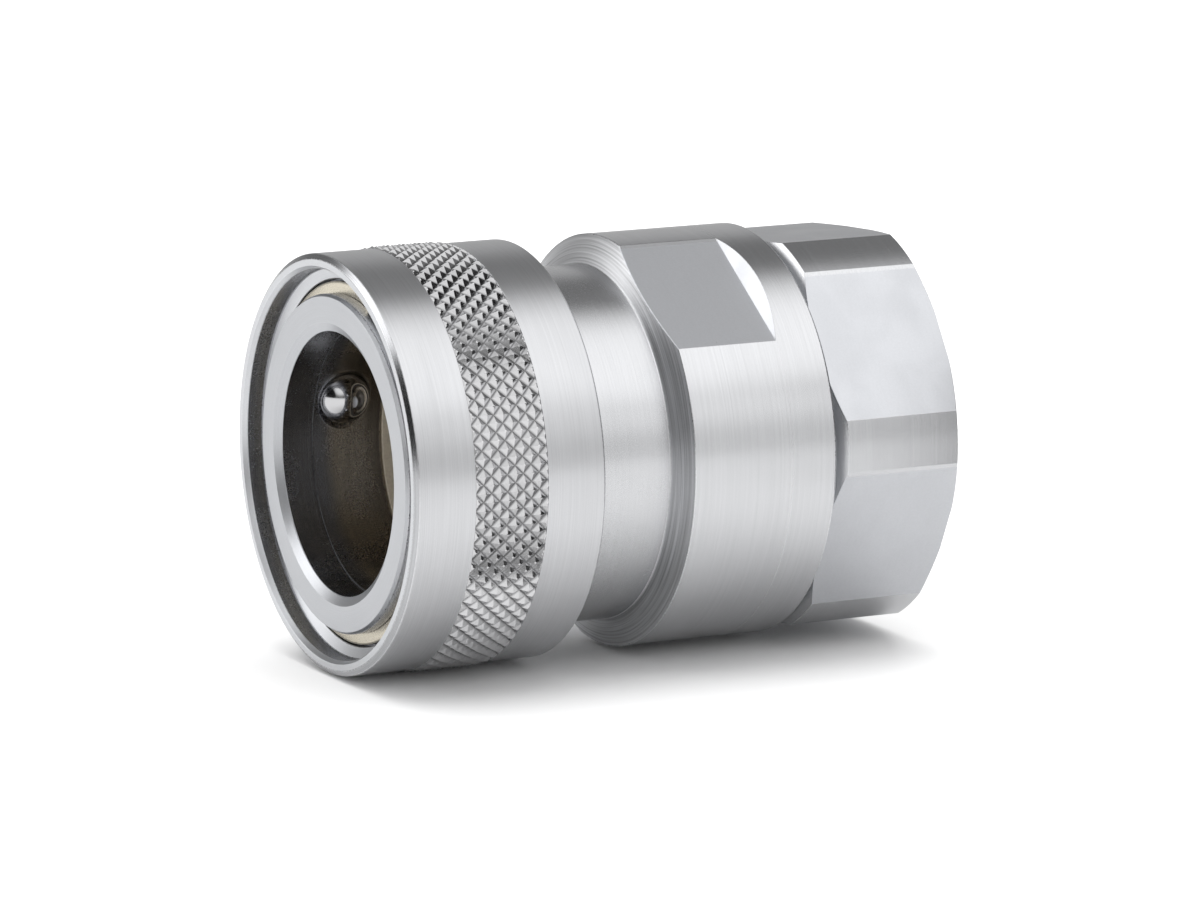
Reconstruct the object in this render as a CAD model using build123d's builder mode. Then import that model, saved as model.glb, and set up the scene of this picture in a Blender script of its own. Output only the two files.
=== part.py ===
from build123d import *
from math import cos, radians, sin, sqrt, tan
import os

os.makedirs("parts", exist_ok=True)

# Quick coupling, socket half, lying on its side. Millimetres.
# +X runs along the axis from the mouth to the threaded port, +Z is up,
# and the origin is on the axis in the plane of the nose face.
# Angles round the axis are counted from +Z towards -Y.

# Plug bore and nose of the body
bore_r = 17.0
entry_len = 0.75
entry_flare = 1.2
nose_wall = 4.8
nose_edge_len = 0.5
nose_edge_drop = 0.3
plug_bore_len = 24.0
bore_land_end = 4.4
bore_groove_len = 0.7
bore_groove_depth = 0.2

# Locking balls
ball_count = 3
ball_d = 7.144
ball_x = 9.25
ball_angle = 48.1
ball_gap = 0.03
ball_play = 0.6
ball_sink = 0.04
ball_hole_gap = 0.06
ball_lip_gap = 0.02
ball_lip_len = 0.12
ball_flare = 0.12

# Sleeve
sleeve_front = -1.15
sleeve_len = 26.5
sleeve_wall = 3.45
sleeve_travel = 10.2
rim_edge_drop = 0.7
rim_edge_len = 0.5
rim_width = 0.85
rim_inner_len = 0.6
mouth_step = 0.4
mouth_len = 2.7
dish_slope = 23.4
land_clearance = 0.07
land_end = 11.0
sleeve_edge = 0.25

# Knurled band of the sleeve
knurl_rise = 0.38
knurl_front = 7.15
knurl_front_bevel = 0.7
knurl_rear = 17.25
knurl_rear_bevel = 0.5

# Stop ring, a sprung wire ring open at the top
ring_front = 2.05
ring_width = 1.4
ring_stand = 1.5
ring_groove_depth = 0.85
ring_edge = 0.3
ring_clearance = 0.05
ring_recess = 0.3
ring_gap_start = 17.7
ring_gap = 35.0

# Spring and thrust washer between the sleeve and the neck
washer_len = 0.6
washer_clearance = 0.1
sleeve_wire = 0.9
sleeve_turns = 3

# Neck and collar of the body
neck_step = 1.3
neck_clearance = 0.07
neck_lap = 0.65
neck_end = 36.55
cone_len = 1.6
collar_step = 3.8
collar_end = 58.65
collar_edge = 0.3
neck_fillet = 0.4

# Two wrench flats on the collar, of the same key size as the hexagon
key_flat_drop = 1.9
flat_angle = 33.7
flat_end = 52.15
flat_wall_lean = 33.5

# Seal groove in the plug bore
groove_front = 15.0
groove_depth = 2.45
groove_edge = 0.3
backup_len = 1.45
backup_clearance = 0.05
bore_seal_d = 2.9
seal_clearance = 0.05

# Valve seat and valve chamber in the body
throat_r = 13.2
throat_flare_len = 1.2
throat_flare_r = 14.4
throat_end = 27.2
chamber_r = 18.2
guide_front = 46.0

# Valve
valve_travel = 6.0
valve_nose_r = 7.0
valve_nose_front = 16.5
valve_cap_r = 12.6
valve_cap_front = 24.8
valve_cap_edge = 0.5
valve_cap_cone_len = 2.8
valve_seal_d = 2.2
valve_seal_x = 28.9
valve_neck_gap = 0.07
valve_head_r = 15.0
valve_head_end = 33.0
valve_head_edge = 1.0
valve_boss_r = 5.4
valve_boss_len = 1.5
stem_r = 3.1
stem_tail_r = 2.5
stem_tail_front = 21.2
stem_end = 52.0
fit_gap = 0.02

# Valve spring
valve_wire = 1.2
valve_spring_r = 6.7
valve_turns = 5
spring_seat_len = 0.5
spring_seat_gap = 0.1

# Valve guide with its bush
guide_len = 3.0
guide_r = 19.4
guide_rim_r = 16.6
guide_hub_r = 5.3
guide_hub_front = 44.5
guide_hub_end = 54.0
guide_flange_r = 8.2
guide_flange_len = 1.5
guide_spoke = 3.2
guide_spokes = 3
spoke_lap = 1.0
bush_r = 4.2
bush_clearance = 0.05

# Rear socket of the body, adapter and its seal
socket_r = 19.5
adapter_seal_d = 2.4
adapter_seal_r = 20.6
adapter_thread_clearance = 0.05
adapter_gap = 0.2
adapter_boss_r = 22.6
adapter_len = 18.5
hex_corner_rise = 0.22
hex_angle = -3.34
hex_bevel_front = 1.3
hex_bevel_rear = 1.1
hex_bevel_slope = 30.0
port_r = 16.62
port_len = 18.0
port_flare = 0.9
flow_r = 15.0

# How far a cut reaches past the surface that it opens, and how near a picked edge has to be
cut_margin = 1.0
pick_tolerance = 0.01

# Places that follow from the sizes above
nose_r = bore_r + nose_wall
ring_r = nose_r + ring_stand
ring_seat_r = nose_r - ring_groove_depth
neck_r = nose_r + neck_step
collar_r = neck_r + collar_step
ball_r = ball_d / 2
land_r = nose_r + land_clearance
ball_rest_r = land_r - ball_play - ball_r
ball_travel = bore_r + ball_sink - (ball_rest_r - ball_r)
ramp_slope = ball_travel / sleeve_travel
ball_reach = ball_rest_r + (ball_r + ball_gap) * sqrt(1 + ramp_slope**2)
ramp_end = ball_x + (ball_reach - land_r) / ramp_slope
ball_lip_r = sqrt((ball_r + ball_lip_gap) ** 2 - (ball_rest_r - bore_r - ball_lip_len) ** 2)
ring_rear = ring_front + ring_width
lip_front = ring_rear + ring_clearance
lip_r = land_r + ramp_slope * (ramp_end - lip_front)
recess_r = ring_r + ring_recess
sleeve_r = recess_r + sleeve_wall
rim_outer_r = sleeve_r - rim_edge_drop
rim_inner_r = rim_outer_r - rim_width
mouth_r = rim_inner_r - mouth_step
knurl_r = sleeve_r + knurl_rise
sleeve_end = sleeve_front + sleeve_len
sleeve_bore_r = neck_r + neck_clearance
neck_front = sleeve_end - neck_lap
washer_end = land_end + washer_len
sleeve_spring_r = (nose_r + sleeve_bore_r) / 2
groove_r = bore_r + groove_depth
groove_end = groove_front + backup_len + bore_seal_d + 3 * seal_clearance
seat_end = throat_end + chamber_r - throat_r
guide_end = guide_front + guide_len
key_r = collar_r - key_flat_drop
hex_corner_r = collar_r + hex_corner_rise
hex_front = collar_end + adapter_gap
adapter_end = hex_front + adapter_len


def ray(angle):
    # Unit vector square to the axis, at an angle counted from +Z towards -Y.
    return Vector(0, -sin(radians(angle)), cos(radians(angle)))


def radial_plane(angle):
    # Plane through the axis: local x runs along the axis, local y outwards at the angle.
    return Plane(origin=(0, 0, 0), x_dir=(1, 0, 0), z_dir=Vector(1, 0, 0).cross(ray(angle)))


def profile(points, plane=Plane.XZ):
    # Closed outline of (place along the axis, radius) points, ready to be turned.
    with BuildSketch(plane) as drawn:
        with BuildLine():
            Polyline(*points, close=True)
        make_face()
    return drawn.sketch


def ball_bore(angle):
    # Stepped hole for one ball: a close bore, a narrow lip that holds the ball, a flare inside.
    wall_r = bore_r + ball_lip_len
    hole_r = ball_r + ball_hole_gap
    inner_r = bore_r - cut_margin
    outer_r = nose_r + cut_margin
    shelf = hole_r - ball_lip_r
    flare_r = ball_lip_r + ball_flare * (wall_r - inner_r) / ball_lip_len
    return profile(
        [
            (ball_x, inner_r),
            (ball_x + flare_r, inner_r),
            (ball_x + ball_lip_r, wall_r),
            (ball_x + hole_r, wall_r + shelf),
            (ball_x + hole_r, outer_r),
            (ball_x, outer_r),
        ],
        radial_plane(angle),
    )


def coil(start, end, mean_r, wire_d, turns):
    # Round wire spring along the axis with both ends ground flat.
    pitch = (end - start) / turns
    with BuildPart() as wound:
        with BuildLine():
            path = Helix(pitch, end - start, mean_r, center=(start, 0, 0), direction=(1, 0, 0))
        with BuildSketch(Plane(origin=path @ 0, z_dir=path % 0)):
            Circle(wire_d / 2)
        sweep(path=path, is_frenet=True)
        with BuildSketch(Plane.YZ.offset(start)):
            Circle(mean_r + wire_d)
        extrude(amount=end - start, mode=Mode.INTERSECT)
    return wound.part


# Body: nose, neck and collar turned from one bar
bore_groove_end = bore_land_end + bore_groove_len
seal_bay_r = adapter_seal_r + adapter_seal_d / 2 + seal_clearance + ring_clearance
seal_bay_front = collar_end - adapter_seal_d - 4 * seal_clearance
with BuildPart() as body:
    revolve(
        profile(
            [
                (0, bore_r + entry_flare),
                (0, nose_r - nose_edge_drop),
                (nose_edge_len, nose_r),
                (ring_front - ring_clearance, nose_r),
                (ring_front - ring_clearance, ring_seat_r - ring_clearance),
                (ring_rear + ring_clearance, ring_seat_r - ring_clearance),
                (ring_rear + ring_clearance, nose_r),
                (neck_front, nose_r),
                (neck_front, neck_r - collar_edge),
                (neck_front + collar_edge, neck_r),
                (neck_end, neck_r),
                (neck_end + cone_len, collar_r),
                (collar_end - collar_edge, collar_r),
                (collar_end, collar_r - collar_edge),
                (collar_end, seal_bay_r),
                (seal_bay_front, seal_bay_r),
                (seal_bay_front, socket_r),
                (guide_front, socket_r),
                (guide_front, chamber_r),
                (seat_end, chamber_r),
                (throat_end, throat_r),
                (plug_bore_len + throat_flare_len, throat_r),
                (plug_bore_len + throat_flare_len, throat_flare_r),
                (plug_bore_len, bore_r),
                (groove_end + groove_edge, bore_r),
                (groove_end, bore_r + groove_edge),
                (groove_end, groove_r),
                (groove_front, groove_r),
                (groove_front, bore_r + groove_edge),
                (groove_front - groove_edge, bore_r),
                (bore_groove_end, bore_r),
                (bore_groove_end, bore_r + bore_groove_depth),
                (bore_land_end, bore_r + bore_groove_depth),
                (bore_land_end, bore_r),
                (entry_len, bore_r),
            ]
        ),
        axis=Axis.X,
    )
    neck_corner = body.edges().filter_by(GeomType.CIRCLE).filter_by(
        lambda edge: abs(edge.arc_center.X - neck_end) < pick_tolerance
        and abs(edge.radius - neck_r) < pick_tolerance
    )
    fillet(neck_corner, neck_fillet)
    for ball in range(ball_count):
        angle = ball_angle + 360 * ball / ball_count
        hole_axis = Axis((ball_x, 0, 0), ray(angle))
        revolve(ball_bore(angle), axis=hole_axis, mode=Mode.SUBTRACT)
    flat_top = collar_r + cut_margin
    for angle in (flat_angle, flat_angle + 180):
        flat = profile(
            [
                (neck_end - cut_margin, key_r),
                (flat_end, key_r),
                (flat_end + (flat_top - key_r) * tan(radians(flat_wall_lean)), flat_top),
                (neck_end - cut_margin, flat_top),
            ],
            radial_plane(angle),
        )
        extrude(flat, amount=collar_r, both=True, mode=Mode.SUBTRACT)
body.part.label = "body"

# Stop ring: rounded flat wire, open where its two ends face each other
with BuildPart() as stop_ring:
    with BuildSketch(radial_plane(ring_gap_start + ring_gap)) as wire:
        with Locations((ring_front + ring_width / 2, (ring_r + ring_seat_r) / 2)):
            RectangleRounded(ring_width, ring_r - ring_seat_r, ring_edge)
    revolve(axis=Axis.X, revolution_arc=360 - ring_gap)
stop_ring.part.label = "stop_ring"

# Sleeve: mouth, dished shoulder, recess over the stop ring, ball ramp, land and spring room
dish_drop = mouth_r - recess_r
dish_len = dish_drop * tan(radians(dish_slope))
mouth_end = sleeve_front + mouth_len
with BuildPart() as sleeve:
    revolve(
        profile(
            [
                (sleeve_front, rim_inner_r),
                (sleeve_front, rim_outer_r),
                (sleeve_front + rim_edge_len, sleeve_r),
                (knurl_front, sleeve_r),
                (knurl_front + knurl_front_bevel, knurl_r),
                (knurl_rear - knurl_rear_bevel, knurl_r),
                (knurl_rear, sleeve_r),
                (sleeve_end - sleeve_edge, sleeve_r),
                (sleeve_end, sleeve_r - sleeve_edge),
                (sleeve_end, sleeve_bore_r + sleeve_edge),
                (sleeve_end - sleeve_edge, sleeve_bore_r),
                (land_end, sleeve_bore_r),
                (land_end, land_r),
                (ramp_end, land_r),
                (lip_front, lip_r),
                (lip_front, recess_r),
                (mouth_end + dish_len, recess_r),
                (mouth_end, mouth_r),
                (sleeve_front + rim_inner_len, mouth_r),
            ]
        ),
        axis=Axis.X,
    )
sleeve.part.label = "sleeve"

# Thrust washer: the sleeve turns on it, the spring pushes on it
with BuildPart() as thrust_washer:
    with BuildSketch(Plane.YZ.offset(land_end)):
        Circle(sleeve_bore_r - washer_clearance)
        Circle(nose_r + washer_clearance, mode=Mode.SUBTRACT)
    extrude(amount=washer_len)
thrust_washer.part.label = "thrust_washer"

# Springs
sleeve_spring = coil(washer_end, neck_front, sleeve_spring_r, sleeve_wire, sleeve_turns)
sleeve_spring.label = "sleeve_spring"
seat_front = guide_front - spring_seat_len
valve_spring = coil(valve_head_end, seat_front, valve_spring_r, valve_wire, valve_turns)
valve_spring.label = "valve_spring"

# Locking balls, each in its own hole
balls = []
for ball in range(ball_count):
    with BuildPart() as lock_ball:
        with Locations(Vector(ball_x, 0, 0) + ray(ball_angle + 360 * ball / ball_count) * ball_rest_r):
            Sphere(ball_r)
    lock_ball.part.label = f"lock_ball_{ball + 1}"
    balls.append(lock_ball.part)

# Seal of the plug bore with its backup ring at the mouth side
backup_front = groove_front + seal_clearance
with BuildPart() as seal_backup:
    revolve(
        profile(
            [
                (backup_front, bore_r + backup_clearance),
                (backup_front + backup_len, bore_r + backup_clearance),
                (backup_front + backup_len, groove_r - backup_clearance),
                (backup_front, groove_r - backup_clearance),
            ]
        ),
        axis=Axis.X,
    )
seal_backup.part.label = "seal_backup"

with BuildPart() as bore_seal:
    with BuildSketch(Plane.XZ):
        seal_x = backup_front + backup_len + seal_clearance + bore_seal_d / 2
        with Locations((seal_x, groove_r - seal_clearance - bore_seal_d / 2)):
            Circle(bore_seal_d / 2)
    revolve(axis=Axis.X)
bore_seal.part.label = "bore_seal"

# Valve: a cap and a head hold the seal, and the stem's tail runs through both
valve_seal_r = valve_seal_x - throat_end + throat_r - (valve_seal_d / 2 + seal_clearance) * sqrt(2)
valve_neck_r = valve_seal_r - valve_seal_d / 2 - valve_neck_gap
cap_end = valve_seal_x - valve_seal_d / 2 - seal_clearance
head_front = valve_seal_x + valve_seal_d / 2 + seal_clearance
tail_bore_r = stem_tail_r + fit_gap
with BuildPart() as valve_cap:
    revolve(
        profile(
            [
                (valve_nose_front, 0),
                (valve_nose_front, valve_nose_r - valve_cap_edge),
                (valve_nose_front + valve_cap_edge, valve_nose_r),
                (valve_cap_front - valve_cap_cone_len, valve_nose_r),
                (valve_cap_front, valve_cap_r - valve_cap_edge),
                (valve_cap_front + valve_cap_edge, valve_cap_r),
                (cap_end, valve_cap_r),
                (cap_end, tail_bore_r),
                (stem_tail_front - fit_gap, tail_bore_r),
                (stem_tail_front - fit_gap, 0),
            ]
        ),
        axis=Axis.X,
    )
valve_cap.part.label = "valve_cap"

with BuildPart() as valve_head:
    revolve(
        profile(
            [
                (cap_end, tail_bore_r),
                (cap_end, valve_neck_r),
                (head_front, valve_neck_r),
                (head_front, valve_head_r - valve_head_edge / 2),
                (head_front + valve_head_edge / 2, valve_head_r),
                (valve_head_end - valve_head_edge, valve_head_r),
                (valve_head_end, valve_head_r - valve_head_edge),
                (valve_head_end, valve_boss_r),
                (valve_head_end + valve_boss_len, valve_boss_r),
                (valve_head_end + valve_boss_len, tail_bore_r),
            ]
        ),
        axis=Axis.X,
    )
valve_head.part.label = "valve_head"

with BuildPart() as valve_seal:
    with BuildSketch(Plane.XZ):
        with Locations((valve_seal_x, valve_seal_r)):
            Circle(valve_seal_d / 2)
    revolve(axis=Axis.X)
valve_seal.part.label = "valve_seal"

stem_shoulder = valve_head_end + valve_boss_len
with BuildPart() as valve_stem:
    revolve(
        profile(
            [
                (stem_tail_front, 0),
                (stem_tail_front, stem_tail_r),
                (stem_shoulder, stem_tail_r),
                (stem_shoulder, stem_r),
                (stem_end - valve_cap_edge, stem_r),
                (stem_end, stem_r - valve_cap_edge),
                (stem_end, 0),
            ]
        ),
        axis=Axis.X,
    )
valve_stem.part.label = "valve_stem"

# Valve guide: rim clamped in the body, spokes that let the oil past, hub with its bush
with BuildPart() as valve_guide:
    with BuildSketch(Plane.YZ.offset(guide_front)):
        Circle(guide_r)
        Circle(guide_rim_r, mode=Mode.SUBTRACT)
    extrude(amount=guide_len)
    with BuildSketch(Plane.YZ.offset(guide_front)):
        with PolarLocations(0, guide_spokes):
            with Locations(((guide_flange_r + guide_r) / 2 - spoke_lap, 0)):
                Rectangle(guide_r - guide_flange_r, guide_spoke)
    extrude(amount=guide_len)
    revolve(
        profile(
            [
                (guide_hub_front, bush_r + fit_gap),
                (guide_hub_front, guide_hub_r),
                (guide_front, guide_hub_r),
                (guide_front, guide_flange_r),
                (guide_front + guide_flange_len, guide_flange_r),
                (guide_end, guide_hub_r),
                (guide_hub_end, guide_hub_r),
                (guide_hub_end, bush_r + fit_gap),
            ]
        ),
        axis=Axis.X,
    )
valve_guide.part.label = "valve_guide"

# Hard washer between the valve spring and the guide
with BuildPart() as spring_seat:
    with BuildSketch(Plane.YZ.offset(seat_front)):
        Circle(guide_flange_r)
        Circle(guide_hub_r + spring_seat_gap, mode=Mode.SUBTRACT)
    extrude(amount=spring_seat_len)
spring_seat.part.label = "spring_seat"

with BuildPart() as guide_bush:
    with BuildSketch(Plane.YZ.offset(guide_hub_front)):
        Circle(bush_r)
        Circle(stem_r + bush_clearance, mode=Mode.SUBTRACT)
    extrude(amount=guide_hub_end - guide_hub_front)
guide_bush.part.label = "guide_bush"

# Adapter: threaded spigot, hexagon with turned corners, threaded port
bevel = tan(radians(90 - hex_bevel_slope))
spigot_r = socket_r - adapter_thread_clearance
seal_seat_r = adapter_seal_r - adapter_seal_d / 2 - seal_clearance
port_end = adapter_end - port_len
with BuildPart() as adapter:
    revolve(
        profile(
            [
                (guide_end, flow_r),
                (guide_end, spigot_r - groove_edge),
                (guide_end + groove_edge, spigot_r),
                (seal_bay_front, spigot_r),
                (seal_bay_front, seal_seat_r),
                (collar_end, seal_seat_r),
                (collar_end, adapter_boss_r),
                (hex_front, adapter_boss_r),
                (hex_front, hex_corner_r - hex_bevel_front * bevel),
                (hex_front + hex_bevel_front, hex_corner_r),
                (adapter_end - hex_bevel_rear, hex_corner_r),
                (adapter_end, hex_corner_r - hex_bevel_rear * bevel),
                (adapter_end, port_r + port_flare),
                (adapter_end - port_flare, port_r),
                (port_end, port_r),
                (port_end, flow_r),
            ]
        ),
        axis=Axis.X,
    )
    with BuildSketch(Plane.YZ.offset(guide_end)):
        RegularPolygon(key_r, 6, major_radius=False, rotation=hex_angle)
    extrude(amount=adapter_end - guide_end, mode=Mode.INTERSECT)
adapter.part.label = "adapter"

with BuildPart() as adapter_seal:
    with BuildSketch(Plane.XZ):
        with Locations(((seal_bay_front + collar_end) / 2, adapter_seal_r)):
            Circle(adapter_seal_d / 2)
    revolve(axis=Axis.X)
adapter_seal.part.label = "adapter_seal"

# One file for each piece
turned = [body, stop_ring, sleeve, thrust_washer, seal_backup, bore_seal, valve_cap, valve_head]
turned += [valve_seal, valve_stem, valve_guide, spring_seat, guide_bush, adapter, adapter_seal]
for piece in [maker.part for maker in turned] + balls + [sleeve_spring, valve_spring]:
    export_step(piece, f"parts/{piece.label}.step")

print("ball travel", round(ball_travel, 4), "ratio", round(ramp_slope, 6))
print("lip radius", round(lip_r, 3), "ring outside", ring_r)
print("sleeve spring at full travel", round(neck_front - washer_end - sleeve_travel, 2))
print("adapter end", adapter_end)
print("valve spring at full travel", round(seat_front - valve_head_end - valve_travel, 2))
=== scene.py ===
import bmesh
import bpy
import numpy as np
from mathutils import Matrix, Vector


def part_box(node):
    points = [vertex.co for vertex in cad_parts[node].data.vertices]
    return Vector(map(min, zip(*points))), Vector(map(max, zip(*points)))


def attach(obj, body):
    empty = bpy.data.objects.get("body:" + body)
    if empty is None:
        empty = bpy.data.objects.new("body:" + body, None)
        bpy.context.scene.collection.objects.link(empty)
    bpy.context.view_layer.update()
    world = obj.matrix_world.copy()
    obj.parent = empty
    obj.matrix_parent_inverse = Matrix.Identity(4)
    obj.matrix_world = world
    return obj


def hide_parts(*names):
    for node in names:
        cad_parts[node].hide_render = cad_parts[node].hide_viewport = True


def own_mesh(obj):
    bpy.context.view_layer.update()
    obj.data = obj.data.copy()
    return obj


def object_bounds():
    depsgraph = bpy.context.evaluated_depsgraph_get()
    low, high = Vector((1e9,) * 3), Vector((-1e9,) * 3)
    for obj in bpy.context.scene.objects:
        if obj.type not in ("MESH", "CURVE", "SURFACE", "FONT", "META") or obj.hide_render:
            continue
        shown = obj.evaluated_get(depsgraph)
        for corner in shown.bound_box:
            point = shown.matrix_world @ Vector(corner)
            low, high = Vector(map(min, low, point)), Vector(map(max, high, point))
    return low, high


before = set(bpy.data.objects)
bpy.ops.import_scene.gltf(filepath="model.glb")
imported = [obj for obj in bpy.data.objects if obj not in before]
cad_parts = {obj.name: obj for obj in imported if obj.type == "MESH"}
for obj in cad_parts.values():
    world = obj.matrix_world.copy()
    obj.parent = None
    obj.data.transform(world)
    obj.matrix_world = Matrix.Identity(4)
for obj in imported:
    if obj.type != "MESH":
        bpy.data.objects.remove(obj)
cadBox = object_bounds()
scene = bpy.context.scene
mm = 0.001
print("frame loaded")

# All sizes are millimetres, x runs along the axis from the mouth, and angles are
# degrees round the axis, counted from the top towards the viewer's side.

cameraPlace = {"at": (-366.8, -790.5, 162.6), "looks": (0.4485, 0.8752, -0.1815), "lens": 208.6,
               "sensor": 36.0, "far": 60.0}


def placeCamera(choice):
    # The camera's axes: right = looks x up, top = right x looks, back = -looks.
    looks = Vector(choice["looks"]).normalized()
    right = looks.cross(Vector((0, 0, 1))).normalized()
    top = right.cross(looks)
    data = bpy.data.cameras.new("camera")
    data.lens = choice["lens"]
    data.sensor_width = choice["sensor"]
    data.clip_end = choice["far"]
    made = bpy.data.objects.new("camera", data)
    turned = Matrix((right, top, -looks)).transposed().to_4x4()
    made.matrix_world = Matrix.Translation(Vector(choice["at"]) * mm) @ turned
    scene.collection.objects.link(made)
    scene.camera = made


placeCamera(cameraPlace)
print("camera placed")


def nodeBox(node):
    # Lowest and highest corner of a CAD node = its box in metres / mm.
    low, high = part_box(node)
    return np.array(low) / mm, np.array(high) / mm


# Node helpers


def place(tree, kind, inputs=None, **settings):
    # A new node: settings are its own properties, and feed fills each input.
    made = tree.nodes.new(kind)
    for key, value in settings.items():
        setattr(made, key, value)
    for key, value in (inputs or {}).items():
        feed(tree, made.inputs[key], value)
    return made


def feed(tree, socket, value):
    # Another node's socket is linked, and anything else becomes the input's own value.
    if isinstance(value, bpy.types.NodeSocket):
        tree.links.new(value, socket)
    else:
        socket.default_value = value


def calc(tree, operation, first, second=0.0, third=0.0):
    # One Math node: first and second under the operation, or first x second + third for MULTIPLY_ADD.
    return place(tree, "ShaderNodeMath", {0: first, 1: second, 2: third}, operation=operation).outputs[0]


def softStep(tree, value, start, end, first=0.0, last=1.0):
    # Runs smoothly from first to last while the value goes from start to end.
    inputs = {"Value": value, "From Min": start, "From Max": end, "To Min": first, "To Max": last}
    return place(tree, "ShaderNodeMapRange", inputs, interpolation_type="SMOOTHSTEP").outputs["Result"]


def objectParts(tree):
    # x, y and z of the object's own coordinates, and the distance from the axis, sqrt(y^2 + z^2), in metres.
    spot = place(tree, "ShaderNodeTexCoord").outputs["Object"]
    parts = place(tree, "ShaderNodeSeparateXYZ", {0: spot}).outputs
    squares = [calc(tree, "MULTIPLY", parts[k], parts[k]) for k in (1, 2)]
    return parts[0], parts[1], parts[2], calc(tree, "SQRT", calc(tree, "ADD", *squares))


def sizedNoise(tree, size, detail, roughness=0.5, bend=0.0):
    # Noise over the object's own coordinates / size, so that one cell is size mm wide.
    spot = place(tree, "ShaderNodeTexCoord").outputs["Object"]
    inputs = {"Vector": spot, "Scale": calc(tree, "DIVIDE", 1 / mm, size), "Detail": detail,
              "Roughness": roughness, "Distortion": bend}
    return place(tree, "ShaderNodeTexNoise", inputs).outputs["Fac"]


def newGroup(name, inputs, outputs):
    # An empty group with a number socket for each name: the group, what goes in and what comes out.
    group = bpy.data.node_groups.new(name, "ShaderNodeTree")
    for label, value in inputs.items():
        socket = group.interface.new_socket(label, in_out="INPUT", socket_type="NodeSocketFloat")
        socket.default_value = value
    for label in outputs:
        group.interface.new_socket(label, in_out="OUTPUT", socket_type="NodeSocketFloat")
    return group, group.nodes.new("NodeGroupInput").outputs, group.nodes.new("NodeGroupOutput").inputs


def useGroup(tree, group, **values):
    # The group placed in a material, with this material's own values.
    made = tree.nodes.new("ShaderNodeGroup")
    made.node_tree = group
    for label, value in values.items():
        feed(tree, made.inputs[label], value)
    return made.outputs


# Surface effects that several finishes share

effects = {"ringRough": 0.6, "grainRough": 0.55, "filmDetail": 3.0, "filmBend": 0.4, "filmSoft": 0.15,
           "speckleDetail": 2.0, "speckle": (0.35, 0.6), "onAxis": 1e-5}


def turningRings():
    # Rings of the lathe: noise over (x, r) / pitch, and slowly over the angle, so that they run round
    # cylinders and faces alike and fade in and out on the way.
    group, given, result = newGroup("turningRings", {"Pitch": 0.1, "Breaks": 1.0, "Detail": 2.0}, ["Rings"])
    x, y, z, across = objectParts(group)
    safe = calc(group, "MAXIMUM", across, effects["onAxis"])
    scale = calc(group, "DIVIDE", 1 / mm, given["Pitch"])
    slow = calc(group, "DIVIDE", given["Breaks"], safe)
    turnY, turnZ = [calc(group, "MULTIPLY", part, slow) for part in (y, z)]
    alongX, alongR = [calc(group, "MULTIPLY", part, scale) for part in (x, across)]
    where = place(group, "ShaderNodeCombineXYZ", {0: alongX, 1: alongR, 2: turnY}).outputs[0]
    inputs = {"Vector": where, "W": turnZ, "Scale": 1.0, "Detail": given["Detail"],
              "Roughness": effects["ringRough"]}
    noise = place(group, "ShaderNodeTexNoise", inputs, noise_dimensions="4D")
    group.links.new(noise.outputs["Fac"], result["Rings"])
    return group


def fineGrain():
    # Even speckle of a blasted or tumbled surface = noise with cells of the given size.
    group, given, result = newGroup("fineGrain", {"Size": 0.1, "Detail": 2.0}, ["Grain"])
    group.links.new(sizedNoise(group, given["Size"], given["Detail"], effects["grainRough"]), result["Grain"])
    return group


def handFilm():
    # Cloudy film left by handling = a soft step of wide noise about 1 - cover.
    group, given, result = newGroup("handFilm", {"Size": 9.0, "Cover": 0.5}, ["Film"])
    noise = sizedNoise(group, given["Size"], effects["filmDetail"], bend=effects["filmBend"])
    edge = calc(group, "SUBTRACT", 1.0, given["Cover"])
    low = calc(group, "SUBTRACT", edge, effects["filmSoft"])
    high = calc(group, "ADD", edge, effects["filmSoft"])
    group.links.new(softStep(group, noise, low, high), result["Film"])
    return group


def brokenEdge():
    # Where the mesh says that a corner was broken (edgeShare) x speckle, as if deburred by hand.
    group, given, result = newGroup("brokenEdge", {"Size": 0.35}, ["Edge"])
    share = place(group, "ShaderNodeAttribute", attribute_name="edgeShare").outputs["Fac"]
    noise = sizedNoise(group, given["Size"], effects["speckleDetail"])
    low, high = effects["speckle"]
    speckle = place(group, "ShaderNodeMapRange", {"Value": noise, "From Min": low, "From Max": high})
    group.links.new(calc(group, "MULTIPLY", share, speckle.outputs["Result"]), result["Edge"])
    return group


ringGroup = turningRings()
grainGroup = fineGrain()
filmGroup = handFilm()
edgeGroup = brokenEdge()
print("shared effects made")

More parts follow.
